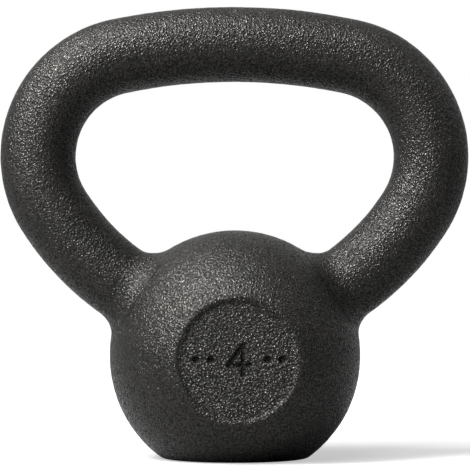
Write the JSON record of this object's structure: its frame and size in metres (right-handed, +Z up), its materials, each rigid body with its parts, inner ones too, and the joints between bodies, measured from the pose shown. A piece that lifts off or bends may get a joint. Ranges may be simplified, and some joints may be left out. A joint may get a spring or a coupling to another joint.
{
  "type": "kettlebell",
  "caption": "Small cast-iron kettlebell: a flat-based ball with a wide closed loop handle of constant round bar, blended into the ball, and a round weight mark.",
  "frame": {"origin": "centre of the flat base, on the surface that the kettlebell stands on", "axes": "+Z up, X along the grip, front of the ball facing -Y"},
  "size_m": [0.17, 0.0792, 0.1638],
  "materials": {
    "ball_iron": "near-black textured powder coat with a fine wrinkled grain, satin",
    "handle_iron": "near-black textured powder coat with a fine wrinkled grain, satin",
    "weld_iron": "near-black textured powder coat over a dressed, smooth blend",
    "disc_iron": "near-black textured powder coat, coarser and deeper grain than on the ball"
  },
  "bodies": {
    "root": {"ball": "ball_iron", "handle": "handle_iron", "left_weld": "weld_iron", "right_weld": "weld_iron", "front_weight_disc": "disc_iron", "back_weight_disc": "disc_iron"}
  },
  "joints": []
}
